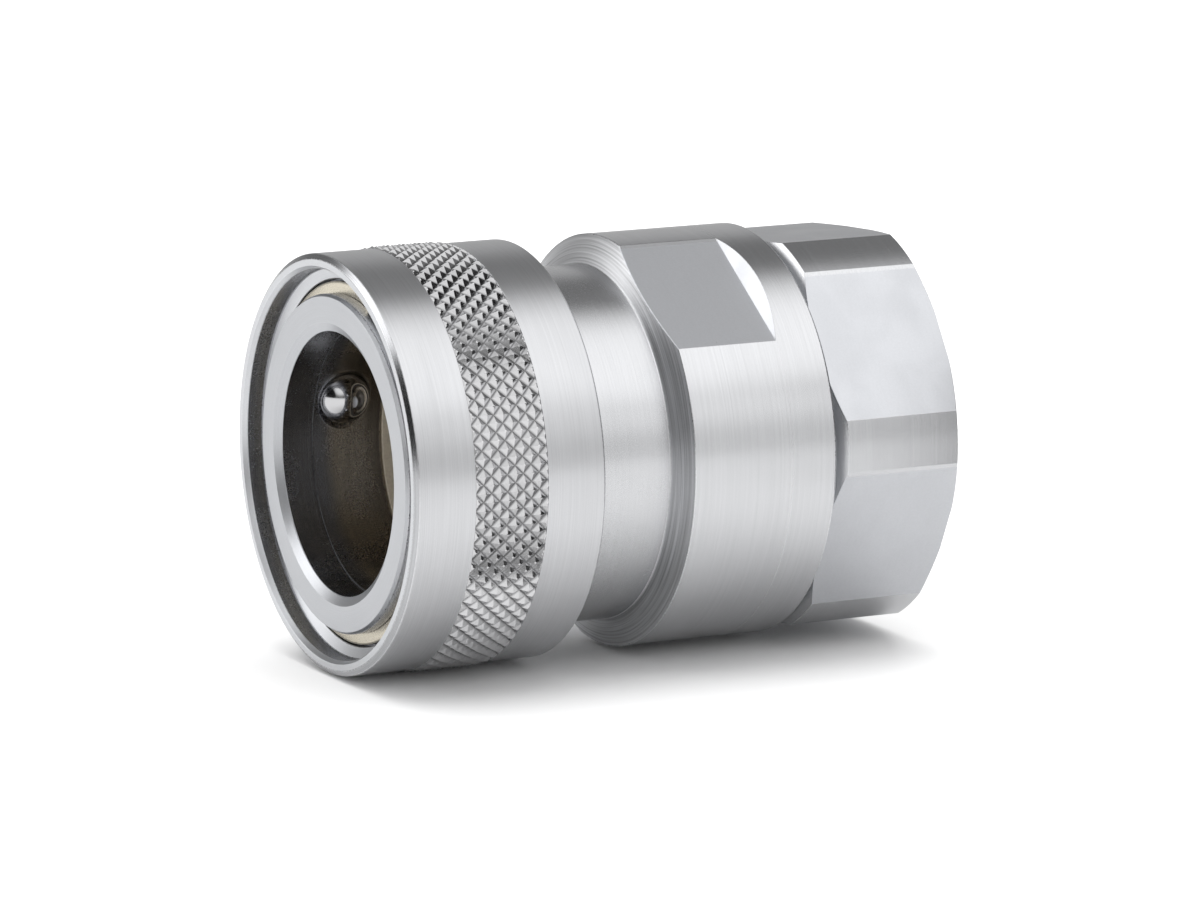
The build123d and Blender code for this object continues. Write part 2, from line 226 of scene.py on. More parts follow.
# What a user would change of each metal: tint, roughness, how far it is brushed round the axis, the pitch,
# strength and depth of its rings, the size, strength and depth of its grain, and how much film it takes
metalKeys = ("tint", "rough", "stretch", "pitch", "ringTone", "ringDepth", "grain", "grainTone", "grainDepth",
             "film")
metals = {
    "sleeveBrushed": ((0.63, 0.635, 0.65), 0.27, 0.75, 0.16, 0.15, 0.006, 0.12, 0.05, 0.004, 0.04),
    "knurlCut": ((0.64, 0.64, 0.65), 0.13, 0.0, 0.2, 0.04, 0.0, 0.10, 0.12, 0.002, 0.02),
    "faceGround": ((0.64, 0.65, 0.67), 0.30, 0.0, 0.12, 0.05, 0.002, 0.11, 0.14, 0.006, 0.03),
    "noseGround": ((0.52, 0.53, 0.55), 0.30, 0.0, 0.12, 0.08, 0.002, 0.11, 0.18, 0.006, 0.03),
    "neckTurned": ((0.63, 0.635, 0.65), 0.23, 0.7, 0.22, 0.10, 0.005, 0.12, 0.04, 0.003, 0.02),
    "collarTurned": ((0.63, 0.635, 0.65), 0.22, 0.7, 0.18, 0.12, 0.005, 0.14, 0.04, 0.003, 0.02),
    "flatMilled": ((0.59, 0.60, 0.625), 0.26, 0.0, 0.5, 0.02, 0.0, 0.25, 0.06, 0.004, 0.10),
    # The bore's steel tint is darkened well below the other steels: painted shade inside the bores.
    "boreTurned": ((0.27, 0.275, 0.295), 0.22, 0.4, 0.14, 0.35, 0.010, 0.22, 0.35, 0.02, 0.06),
    "coneCut": ((0.66, 0.665, 0.68), 0.33, 0.5, 0.26, 0.85, 0.022, 0.12, 0.10, 0.005, 0.03),
    # A near-black tint for the relief groove's rear wall: painted shade that hides the light it would
    # reflect.
    "grooveDark": ((0.07, 0.07, 0.065), 0.40, 0.0, 0.12, 0.1, 0.002, 0.2, 0.1, 0.004, 0.03),
    "chamferCut": ((0.50, 0.505, 0.52), 0.17, 0.5, 0.10, 0.35, 0.004, 0.10, 0.08, 0.004, 0.02),
    "ballPolished": ((0.60, 0.60, 0.61), 0.07, 0.0, 0.5, 0.0, 0.0, 0.6, 0.03, 0.001, 0.05),
    "ringSprung": ((0.66, 0.61, 0.50), 0.24, 0.3, 0.15, 0.10, 0.006, 0.2, 0.08, 0.004, 0.03),
    "wireDrawn": ((0.50, 0.50, 0.51), 0.28, 0.0, 0.15, 0.05, 0.003, 0.15, 0.10, 0.006, 0.10),
    "bushBronze": ((0.62, 0.43, 0.20), 0.30, 0.3, 0.15, 0.10, 0.006, 0.15, 0.08, 0.006, 0.15),
}

# Metals darker near the axis, from painted shade and dirt in the knurl's grooves (from, to, how much), and
# with another tint deeper in, a painted reflection in the bore (from, to, that tint)
knurlGrooveShadeAndDirt = {"knurlCut": (26.79, 26.97, 0.52)}
paintedReflectionDeeper = {"boreTurned": (6.0, 8.5, (0.40, 0.355, 0.29))}

# How the shared effects act on every metal's tone and roughness
metalWear = {"breaks": 1.2, "detail": 3.0, "filmSize": 8.0, "filmCover": 0.5, "filmDarkens": 0.3,
             "filmRoughens": 0.5, "edgeSize": 0.35, "edgeLightens": 0.12, "edgeRoughens": 0.10,
             "grainRoughens": 0.06, "brushTurn": 0.25}


def newMaterial(name):
    # A new material, its node tree and its Principled shader.
    made = bpy.data.materials.new(name)
    made.use_nodes = True
    return made, made.node_tree, made.node_tree.nodes["Principled BSDF"]


def setColour(tree, shader, tint, tone):
    # Base colour = tint x tone
    colour = place(tree, "ShaderNodeVectorMath", {0: tint, "Scale": tone}, operation="SCALE")
    tree.links.new(colour.outputs[0], shader.inputs["Base Color"])


def setRelief(tree, shader, height):
    # The shading's normal follows the height, which is in metres.
    bump = place(tree, "ShaderNodeBump", {"Strength": 1.0, "Distance": 1.0, "Height": height})
    tree.links.new(bump.outputs[0], shader.inputs["Normal"])


def metal(name):
    # Tone = (1 + rings + grain - film + broken edge) x painted groove shade and dirt; roughness = its own +
    # film + edge + grain;
    # height = rings + grain. Deeper in the bore the tint turns to a painted reflection.
    look, wear = dict(zip(metalKeys, metals[name])), metalWear
    made, tree, shader = newMaterial(name)
    fine = wear["detail"]
    rings = useGroup(tree, ringGroup, Pitch=look["pitch"], Breaks=wear["breaks"], Detail=fine)["Rings"]
    grain = useGroup(tree, grainGroup, Size=look["grain"], Detail=fine)["Grain"]
    film = useGroup(tree, filmGroup, Size=wear["filmSize"], Cover=wear["filmCover"])["Film"]
    edge = useGroup(tree, edgeGroup, Size=wear["edgeSize"])["Edge"]
    ringLift = calc(tree, "MULTIPLY_ADD", rings, 2 * look["ringTone"], 1 - look["ringTone"])
    grainLift = calc(tree, "MULTIPLY_ADD", grain, 2 * look["grainTone"], -look["grainTone"])
    tone = calc(tree, "ADD", ringLift, grainLift)
    tone = calc(tree, "MULTIPLY_ADD", film, -look["film"] * wear["filmDarkens"], tone)
    tone = calc(tree, "MULTIPLY_ADD", edge, wear["edgeLightens"], tone)
    tint = look["tint"]
    # The knurl's groove floors are darkened towards the bottom: painted shade, with some dirt.
    if name in knurlGrooveShadeAndDirt:
        bottom, top, dark = knurlGrooveShadeAndDirt[name]
        across = objectParts(tree)[3]
        tone = calc(tree, "MULTIPLY", tone, softStep(tree, across, bottom * mm, top * mm, 1 - dark, 1.0))
    # Deeper in the bore the tint turns warm: a painted reflection.
    if name in paintedReflectionDeeper:
        start, end, reflectionTint = paintedReflectionDeeper[name]
        factor = softStep(tree, objectParts(tree)[0], start * mm, end * mm)
        mix = place(tree, "ShaderNodeMix", {"Factor": factor}, data_type="RGBA")
        near, far = [socket for socket in mix.inputs if socket.type == "RGBA"]
        near.default_value = (*tint, 1.0)
        far.default_value = (*reflectionTint, 1.0)
        tint = next(socket for socket in mix.outputs if socket.type == "RGBA")
    setColour(tree, shader, tint, tone)
    rough = calc(tree, "MULTIPLY_ADD", film, look["film"] * wear["filmRoughens"], look["rough"])
    rough = calc(tree, "MULTIPLY_ADD", edge, wear["edgeRoughens"], rough)
    rough = calc(tree, "MULTIPLY_ADD", grain, wear["grainRoughens"], rough)
    tree.links.new(rough, shader.inputs["Roughness"])
    shader.inputs["Metallic"].default_value = 1.0
    if look["stretch"]:
        shader.inputs["Anisotropic"].default_value = look["stretch"]
        shader.inputs["Anisotropic Rotation"].default_value = wear["brushTurn"]
        tangent = place(tree, "ShaderNodeTangent", direction_type="RADIAL", axis="X")
        tree.links.new(tangent.outputs[0], shader.inputs["Tangent"])
    grainHeight = calc(tree, "MULTIPLY", grain, look["grainDepth"] * mm)
    setRelief(tree, shader, calc(tree, "MULTIPLY_ADD", rings, look["ringDepth"] * mm, grainHeight))
    return made


softLooks = {
    "sealRubber": {"tint": (0.022, 0.022, 0.024), "rough": 0.45, "grain": 0.25, "grainDepth": 0.02},
    "backupPlastic": {"tint": (0.60, 0.53, 0.42), "rough": 0.40, "grain": 0.4, "grainDepth": 0.01},
}
softWear = {"detail": 3.0, "filmSize": 5.0, "filmCover": 0.4, "filmRoughens": 0.15, "toneFrom": 0.75,
            "toneRise": 0.5}


def softMaterial(name):
    # Tone = toneFrom + toneRise x grain; roughness = its own + film; height = grain.
    look, wear = softLooks[name], softWear
    made, tree, shader = newMaterial(name)
    grain = useGroup(tree, grainGroup, Size=look["grain"], Detail=wear["detail"])["Grain"]
    film = useGroup(tree, filmGroup, Size=wear["filmSize"], Cover=wear["filmCover"])["Film"]
    tone = calc(tree, "MULTIPLY_ADD", grain, wear["toneRise"], wear["toneFrom"])
    setColour(tree, shader, look["tint"], tone)
    rough = calc(tree, "MULTIPLY_ADD", film, wear["filmRoughens"], look["rough"])
    tree.links.new(rough, shader.inputs["Roughness"])
    setRelief(tree, shader, calc(tree, "MULTIPLY", grain, look["grainDepth"] * mm))
    return made


finish = {name: metal(name) for name in metals}
finish.update({name: softMaterial(name) for name in softLooks})
print("materials made:", len(finish))

# Surfaces

# A corner takes at most this share of a side, with a point outside it (hold) that keeps long sides flat in
# the shading. Columns are even, with close ones (blur) at each sharp edge.
surfaceRule = {"share": 0.4, "hold": 1.2, "steps": 4, "column": 1.5, "blur": 0.14, "clear": 3,
               "doubles": 0.0005, "thin": 1e-9}


def clockwise(outline):
    # Twice the signed area is the sum of x r' - x' r; a clockwise outline gives faces that point outwards.
    x, r = outline[..., 0], outline[..., 1]
    area = np.sum(x * np.roll(r, -1, -1) - np.roll(x, -1, -1) * r, axis=-1)
    return bool(np.mean(area) < 0)


def roundCorners(outline, radii, steps=surfaceRule["steps"]):
    # Each corner becomes (1-s)^2 a + 2 s (1-s) corner + s^2 b, where a and b lie one radius back and on.
    before = np.roll(outline, 1, -2) - outline
    after = np.roll(outline, -1, -2) - outline
    lenBefore = np.linalg.norm(before, axis=-1, keepdims=True)
    lenAfter = np.linalg.norm(after, axis=-1, keepdims=True)
    most = surfaceRule["share"] * np.minimum(lenBefore, lenAfter)
    reach = np.minimum(np.asarray(radii, float)[:, None], most)
    back = before / np.maximum(lenBefore, surfaceRule["thin"])
    on = after / np.maximum(lenAfter, surfaceRule["thin"])
    s = np.linspace(0, 1, steps + 1)[:, None]
    corner = outline[..., None, :]
    a = corner + (back * reach)[..., None, :]
    b = corner + (on * reach)[..., None, :]
    arc = (1 - s) ** 2 * a + 2 * s * (1 - s) * corner + s**2 * b
    first = corner + (back * reach * surfaceRule["hold"])[..., None, :]
    last = corner + (on * reach * surfaceRule["hold"])[..., None, :]
    full = np.concatenate([first, arc, last], axis=-2)
    share = np.concatenate([[0.0], np.ones(steps + 1), [0.0]])
    return full.reshape(*outline.shape[:-2], -1, 2), np.tile(share, outline.shape[-2])


def ringAngles(edges=(), step=surfaceRule["column"], start=0.0):
    # start + 0, step, 2 step and so on; those near an edge give way to edge - blur, edge and edge + blur.
    blur = surfaceRule["blur"]
    even = np.arange(0, 360, step) + start
    edges = np.asarray(edges, float) % 360
    if len(edges):
        near = np.abs((even[:, None] - edges[None, :] + 180) % 360 - 180).min(axis=1)
        even = np.concatenate([even[near > blur * surfaceRule["clear"]], edges, edges - blur, edges + blur])
    return np.sort(even % 360)


def toSpace(x, r, angle):
    # (x, r, angle) to (x, -r sin, r cos)
    turn = np.radians(angle)
    return np.stack([x + 0 * turn * r, -r * np.sin(turn), r * np.cos(turn)], axis=-1)


def sweepRound(outline, angles):
    # Points and faces of an outline turned round the axis: outline is (n, 2), or (columns, n, 2) where it
    # changes with the angle. The face of column i and row j joins i, j to i + 1, j + 1.
    columns = len(angles)
    outline = np.broadcast_to(outline, (columns, *outline.shape[-2:]))
    points = toSpace(outline[..., 0], outline[..., 1], angles[:, None])
    rows = outline.shape[1]
    i, j = np.arange(columns)[:, None], np.arange(rows)[None, :]
    i2, j2 = (i + 1) % columns, (j + 1) % rows
    faces = np.stack([i * rows + j, i2 * rows + j, i2 * rows + j2, i * rows + j2], axis=-1)
    return points.reshape(-1, 3), faces


def tubeFaces(count, around, inwards=False):
    # Faces from ring i to i + 1 and point j to j + 1 of count rings of points; inwards turns them over.
    i, j = np.arange(count - 1)[:, None], np.arange(around)[None, :]
    j2 = (j + 1) % around
    corners = [i * around + j, (i + 1) * around + j, (i + 1) * around + j2, i * around + j2]
    if inwards:
        corners = corners[:1] + corners[:0:-1]
    return np.stack(corners, axis=-1).reshape(-1, 4)


def makePiece(name, points, faces, finishes, faceFinish=None, share=None, smooth=True, poles=False):
    # Points (mm) and faces become a mesh in metres. faceFinish picks each face's finish, share says where a
    # corner is broken, and poles joins the doubled points where rows close on one.
    mesh = bpy.data.meshes.new(name)
    mesh.from_pydata(np.asarray(points) * mm, [], faces if isinstance(faces, list) else faces.tolist())
    for label in finishes:
        mesh.materials.append(finish[label])
    if faceFinish is not None:
        mesh.polygons.foreach_set("material_index", np.asarray(faceFinish, np.int32).ravel())
    mesh.polygons.foreach_set("use_smooth", np.full(len(mesh.polygons), smooth))
    if share is not None:
        attribute = mesh.attributes.new("edgeShare", "FLOAT", "POINT")
        attribute.data.foreach_set("value", np.asarray(share, np.float32).ravel())
    if poles:
        work = bmesh.new()
        work.from_mesh(mesh)
        bmesh.ops.remove_doubles(work, verts=work.verts, dist=surfaceRule["doubles"] * mm)
        bmesh.ops.dissolve_degenerate(work, edges=work.edges, dist=surfaceRule["thin"])
        work.to_mesh(mesh)
        work.free()
    mesh.update()
    made = bpy.data.objects.new(name, mesh)
    scene.collection.objects.link(made)
    return made


def roundedRows(rows, columns):
    # A row is (x, r, corner radius, finish of the side that follows), and x and r may change with the angle.
    # Gives the rounded outline of each column, where its corners are, its finishes, and each point's finish.
    one = np.ones(columns)
    outline = np.stack([np.stack([one * row[0], one * row[1]], -1) for row in rows], axis=1)
    radii = np.array([row[2] for row in rows], float)
    labels = sorted({row[3] for row in rows})
    slots = np.array([labels.index(row[3]) for row in rows])
    if not clockwise(outline):
        outline, radii, slots = outline[:, ::-1], radii[::-1], np.roll(slots[::-1], -1)
    rounded, share = roundCorners(outline, radii)
    return rounded, share, labels, np.repeat(slots, rounded.shape[1] // len(rows))


def turnBetweenFlats(faceFinish, labels, outside):
    # Milled rows are milled inside a flat alone; the columns outside one are turned.
    milled = faceFinish == labels.index("flatMilled")
    faceFinish[milled & outside[:, None]] = labels.index("collarTurned")


def turnedPiece(name, rows, body, nodes, step=surfaceRule["column"], poles=False):
    # The rows' outline turned round the axis; a solid piece's outline starts and ends on the axis.
    angles = ringAngles(step=step)
    rounded, share, labels, slots = roundedRows(rows, len(angles))
    points, faces = sweepRound(rounded, angles)
    piece = makePiece(name, points, faces.reshape(-1, 4), labels, np.tile(slots, (len(angles), 1)),
                      np.tile(share, len(angles)), poles=poles)
    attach(piece, body)
    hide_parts(*nodes)


# Sleeve

sleeveLow, sleeveHigh = nodeBox("sleeve")
sleeveSize = {"front": sleeveLow[0], "rear": sleeveHigh[0], "r": 27.05, "rimOuter": 26.35, "rimInner": 25.5,
              "rimDepth": 0.6, "mouth": 25.1, "mouthEnd": 1.55, "mouthSlope": 0.65, "recess": 23.6,
              "lip": 23.087, "lipFront": 3.5, "land": 21.87, "rampEnd": 7.76, "landEnd": 11.0, "bore": 23.17,
              "chamfer": 0.5, "bevel": 0.25, "bandFront": 7.15, "bandRear": 17.25, "bandFloor": 26.45,
              "column": 1.0}


def makeSleeve(s):
    # Outside from the rim over the knurl's seat to the rear, then back along the bore, land, ramp and mouth.
    # w carries painted shade inside the sleeve's bore, land, ramp and mouth.
    b, w, g, h = "sleeveBrushed", "boreTurned", "faceGround", "chamferCut"
    rows = [
        (s["front"], s["rimInner"], 0.06, g), (s["front"], s["rimOuter"], 0.08, h),
        (s["front"] + s["chamfer"], s["r"], 0.10, b), (s["bandFront"], s["r"], 0.04, b),
        (s["bandFront"], s["bandFloor"], 0.02, b), (s["bandRear"], s["bandFloor"], 0.02, b),
        (s["bandRear"], s["r"], 0.04, b), (s["rear"] - s["bevel"], s["r"], 0.08, b),
        (s["rear"], s["r"] - s["bevel"], 0.08, g), (s["rear"], s["bore"] + s["bevel"], 0.08, w),
        (s["rear"] - s["bevel"], s["bore"], 0.08, w), (s["landEnd"], s["bore"], 0.1, w),
        (s["landEnd"], s["land"], 0.1, w), (s["rampEnd"], s["land"], 0.3, w),
        (s["lipFront"], s["lip"], 0.06, w), (s["lipFront"], s["recess"], 0.1, w),
        (s["mouthEnd"] + s["mouthSlope"], s["recess"], 0.15, g), (s["mouthEnd"], s["mouth"], 0.15, w),
        (s["front"] + s["rimDepth"], s["mouth"], 0.08, g),
    ]
    turnedPiece("sleeve_shell", rows, "sleeve", ["sleeve"], s["column"])


makeSleeve(sleeveSize)

# The knurl's tips are cut flat at slightly different heights (tip, less up to tipLoss), as scatter says
knurlSize = {"around": 78, "pitch": 2.22, "depth": 0.64, "crest": 27.43, "frontBevel": 0.7, "rearBevel": 0.5,
             "tip": 0.93, "tipLoss": 0.05, "soft": 0.02, "fine": 12, "phase": 0.25, "clear": 0.02,
             "scatter": (12.9898, 78.233, 43758.5453)}


def knurlHeight(k, u, v):
    # With u turns of the pitch round and v along, two families of grooves lie at whole u + v and whole u - v.
    # Height = the lower of the two tents between grooves, cut flat near the tip.
    soft = k["soft"]
    a, b = u[:, None] + v[None, :], u[:, None] - v[None, :]
    tentA, tentB = [2 * np.abs(way - np.round(way)) for way in (a, b)]
    height = np.minimum(np.sqrt(tentA**2 + soft**2), np.sqrt(tentB**2 + soft**2)) - soft
    first, second, much = k["scatter"]
    spread = np.sin(np.floor(a) * first + np.floor(b) * second) * much
    return np.minimum(height, k["tip"] - k["tipLoss"] * (spread - np.floor(spread)))


def knurlFaces(k, u, v, rows):
    # Two triangles for each cell, split along the groove that it is nearer to, and a strip underneath.
    columns, fine = len(u), k["fine"]
    i, j = np.arange(columns)[:, None], np.arange(rows - 1)[None, :]
    on = ((i + 1) % columns) * rows
    p00, p10 = i * rows + j, on + j
    p01, p11 = p00 + 1, p10 + 1
    rowV = np.concatenate([[v[0]], v, [v[-1]]])
    midU, midV = u[:, None] + 0.5 / fine, (rowV[1:] + rowV[:-1])[None, :] / 2
    offA, offB = [np.abs(way - np.round(way)) for way in (midU + midV, midU - midV)]
    falling = (offA < offB)[..., None]
    first = np.where(falling, np.stack([p00, p10, p01], -1), np.stack([p00, p10, p11], -1))
    second = np.where(falling, np.stack([p10, p11, p01], -1), np.stack([p00, p11, p01], -1))
    under = np.stack([i * rows + rows - 1, on + rows - 1, on, i * rows], axis=-1)
    return first.reshape(-1, 3).tolist() + second.reshape(-1, 3).tolist() + under.reshape(-1, 4).tolist()


def makeKnurl(k, s):
    # r = crest - depth x (1 - height), under an envelope that rises from the sleeve's r over each bevel.
    u = np.arange(k["around"] * k["fine"]) / k["fine"]
    front, rear = s["bandFront"], s["bandRear"]
    ends = np.array([front, front + k["frontBevel"], rear - k["rearBevel"], rear]) / k["pitch"] + k["phase"]
    inner = np.arange(np.ceil(ends[0] * k["fine"]), np.floor(ends[-1] * k["fine"]) + 1) / k["fine"]
    inner = inner[np.abs(inner[:, None] - ends[None, :]).min(axis=1) > k["clear"]]
    v = np.sort(np.concatenate([inner, ends]))
    x = (v - k["phase"]) * k["pitch"]
    rise = np.minimum((x - front) / k["frontBevel"], (rear - x) / k["rearBevel"])
    envelope = s["r"] + (k["crest"] - s["r"]) * np.clip(rise, 0, 1)
    r = np.minimum(k["crest"] - k["depth"] * (1 - knurlHeight(k, u, v)), envelope)
    floor = np.full((len(u), 1), s["bandFloor"])
    r = np.concatenate([floor, r, floor], axis=1)
    x = np.concatenate([[front], x, [rear]])
    points = toSpace(x[None, :] + 0 * r, r, (u / k["around"] * 360)[:, None])
    faces = knurlFaces(k, u, v, r.shape[1])
    piece = makePiece("knurl_band", points.reshape(-1, 3), faces, ["knurlCut"], smooth=False)
    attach(piece, "sleeve")
    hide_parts("sleeve")


makeKnurl(knurlSize, sleeveSize)
print("sleeve made")

# Body

bodyHigh = nodeBox("body")[1]
bodySize = {"bore": 17.0, "nose": 21.8, "entry": 1.2, "entryLen": 0.75, "noseBevelLen": 0.5, "ringFront": 2.0,
            "ringRear": 3.5, "ringSeat": 20.9, "landEnd": 4.4, "reliefEnd": 5.1, "relief": 17.2,
            "grooveFront": 15.0, "grooveEnd": 19.5, "groove": 19.45, "boreEnd": 24.0, "neckFront": 24.7,
            "neck": 23.1, "neckEnd": 36.55, "cone": 1.6, "collar": bodyHigh[2], "collarEnd": bodyHigh[0],
            "flat": 25.0, "flatAngle": 33.7, "flatEnd": 52.15, "wallLean": 33.5, "wallLeast": 0.05,
            "sealBay": 21.9, "sealBayFront": 56.05, "socket": 19.5, "socketFront": 46.0, "chamber": 18.2,
            "seatEnd": 32.2, "throat": 13.2, "throatEnd": 27.2, "seatStep": 1.2, "bevel": 0.3, "column": 1.2,
            "margin": 0.2}

# Each ball's middle and size come from the frame; the holes widen both ways from a narrow lip.
# The pairs say how far each ring of points stands out from the hole's edge, and over the surface.
ballNodes = sorted(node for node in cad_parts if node.startswith("lock_ball_"))
ballMiddles = {node: sum(nodeBox(node)) / 2 for node in ballNodes}
ballR = float(np.ptp(nodeBox(ballNodes[0]), axis=0)[0]) / 2
holeSize = {"bore": ballR + 0.06, "lip": 3.545, "lipHeight": 17.12, "windowTurn": 17.05, "windowLen": 4.05,
            "rows": 12, "phase": 0.1, "settle": 6, "onBore": [(0.22, 0.0), (0.03, 0.0), (-0.02, 0.03)],
            "atLip": [(0.04, -0.04), (0.0, 0.0), (0.03, 0.03)], "overShelf": [0.0, 0.2],
            "onNose": [(0.0, -0.3), (0.0, -0.06), (0.06, 0.0), (0.28, 0.0)]}


def cornerAt(rows, x, r):
    # Which corner of an outline stands at (x, r).
    return next(k for k, row in enumerate(rows) if np.all(row[0] == x) and np.all(row[1] == r))


def windowLoop(boreRows, first, last):
    # Columns and rows along a window's border, from its first corner round to the last point before it.
    across, down = np.arange(first, last + 1), np.arange(len(boreRows))
    column = [across, np.full(len(down) - 1, last), across[::-1][1:], np.full(len(down) - 2, first)]
    row = [0 * across, down[1:], np.full(len(across) - 1, down[-1]), down[::-1][1:-1]]
    return np.concatenate(column), np.concatenate(row)


def holeRings(s, h, f):
    # Radius and height of each ring of points from the bore out to the nose. On a cylinder R, a point w from
    # the hole's middle in the direction f stands sqrt(R^2 - (w sin f)^2) high. The hole's edge in the bore is
    # where a 45 degree slope from the lip meets the bore, found by a few repeats.
    def onCylinder(radius, wide):
        return np.sqrt(radius**2 - (wide * np.sin(f)) ** 2)

    edge = np.full(len(f), h["lip"])
    for step in range(h["settle"]):
        edge = h["lip"] + h["lipHeight"] - onCylinder(s["bore"], edge)
    shelf = h["lipHeight"] + h["bore"] - h["lip"]
    rings = [(edge + wider, onCylinder(s["bore"], edge + wider) + over) for wider, over in h["onBore"]]
    rings += [(h["lip"] + wider, h["lipHeight"] + over) for wider, over in h["atLip"]]
    rings += [(h["bore"], shelf + over) for over in h["overShelf"]]
    for wider, over in h["onNose"]:
        rings.append((h["bore"] + wider, onCylinder(s["nose"], h["bore"] + wider) + over))
    return rings


def ballWindows(s, h, angles, outline, boreRows, noseRows):
    # A window of the grid round each ball gives way to rings of points, from the window's border in the bore,
    # down the hole and out to the window's border on the nose. A ring's point is the ball's place along the
    # axis + w cos f along x + w sin f sideways + its height outwards.
    columns, rows = outline.shape[:2]
    keep = np.ones((columns, rows), bool)
    extra, faces, onNose = [], [], []
    start = columns * rows
    for middle in ballMiddles.values():
        turn = np.degrees(np.arctan2(-middle[1], middle[2]))
        apart = (angles - turn + 180) % 360 - 180
        inside = np.flatnonzero(np.abs(apart) < h["windowTurn"])
        first, last = inside[0], inside[-1]
        for border in (boreRows, noseRows):
            keep[first:last, border[0]:border[-1]] = False
        column, row = windowLoop(boreRows, first, last)
        dx = outline[column, boreRows[row], 0] - middle[0]
        f = np.arctan2(s["bore"] * np.sin(np.radians(apart[column])), dx)
        outwards, sideways = toSpace(0.0, 1.0, turn), toSpace(0.0, 1.0, turn + 90)
        loops = [column * rows + boreRows[row]]
        for wide, height in holeRings(s, h, f):
            spot = (middle[0] + wide * np.cos(f))[:, None] * np.array([1.0, 0, 0])
            spot = spot + (wide * np.sin(f))[:, None] * sideways + (height + 0 * f)[:, None] * outwards
            extra.append(spot)
            loops.append(start + np.arange(len(f)))
            start += len(f)
        loops.append(column * rows + noseRows[::-1][row])
        for k, (p, q) in enumerate(zip(loops[:-1], loops[1:])):
            faces.append(np.stack([p, np.roll(p, -1), np.roll(q, -1), q], axis=-1))
            onNose.append(np.full(len(p), k >= len(loops) - 3))
    return keep, np.concatenate(extra), np.concatenate(faces), np.concatenate(onNose)


def dropLoosePoints(points, faces, share):
    # Points that no face uses go, and the rest are counted anew.
    used = np.unique(faces)
    newPlace = np.zeros(len(points), int)
    newPlace[used] = np.arange(len(used))
    return points[used], newPlace[faces], share[used]


def bodyRows(s, cut, coneX, wallX):
    # Nose, ring groove, neck, cone, collar with its flats, then back through the seal's bay, the valve's
    # chamber and throat, and the plug's bore with its groove and relief.
    # d, on the relief's rear wall, is near-black painted shade.
    n, f, w, g, c, k = "neckTurned", "flatMilled", "boreTurned", "faceGround", "collarTurned", "coneCut"
    d, e = "grooveDark", "noseGround"
    bevel, step = s["bevel"], s["seatStep"]
    return [
        (0, s["bore"] + s["entry"], 0.05, e), (0, s["nose"] - bevel, 0.06, e),
        (s["noseBevelLen"], s["nose"], 0.1, n), (s["ringFront"], s["nose"], 0.08, w),
        (s["ringFront"], s["ringSeat"], 0.05, w), (s["ringRear"], s["ringSeat"], 0.05, w),
        (s["ringRear"], s["nose"], 0.08, n), (s["neckFront"], s["nose"], 0.05, n),
        (s["neckFront"], s["neck"] - bevel, 0.08, n), (s["neckFront"] + bevel, s["neck"], 0.08, n),
        (s["neckEnd"], s["neck"], 0.15, k), (coneX, cut, 0.10, f), (s["flatEnd"], cut, 0.05, f),
        (wallX, s["collar"], 0.05, c), (s["collarEnd"] - bevel, s["collar"], 0.1, c),
        (s["collarEnd"], s["collar"] - bevel, 0.1, g), (s["collarEnd"], s["sealBay"], 0.1, w),
        (s["sealBayFront"], s["sealBay"], 0.1, w), (s["sealBayFront"], s["socket"], 0.1, w),
        (s["socketFront"], s["socket"], 0.1, w), (s["socketFront"], s["chamber"], 0.1, w),
        (s["seatEnd"], s["chamber"], 0.2, w), (s["throatEnd"], s["throat"], 0.1, w),
        (s["boreEnd"] + step, s["throat"], 0.1, w), (s["boreEnd"] + step, s["throat"] + step, 0.1, w),
        (s["boreEnd"], s["bore"], 0.1, w), (s["grooveEnd"] + bevel, s["bore"], 0.1, w),
        (s["grooveEnd"], s["bore"] + bevel, 0.1, w), (s["grooveEnd"], s["groove"], 0.1, w),
        (s["grooveFront"], s["groove"], 0.1, w), (s["grooveFront"], s["bore"] + bevel, 0.1, w),
        (s["grooveFront"] - bevel, s["bore"], 0.1, w), (s["reliefEnd"], s["bore"], 0.02, d),
        (s["reliefEnd"], s["relief"], 0.02, w), (s["landEnd"], s["relief"], 0.02, w),
        (s["landEnd"], s["bore"], 0.02, w), (s["entryLen"], s["bore"], 0.08, e),
    ]


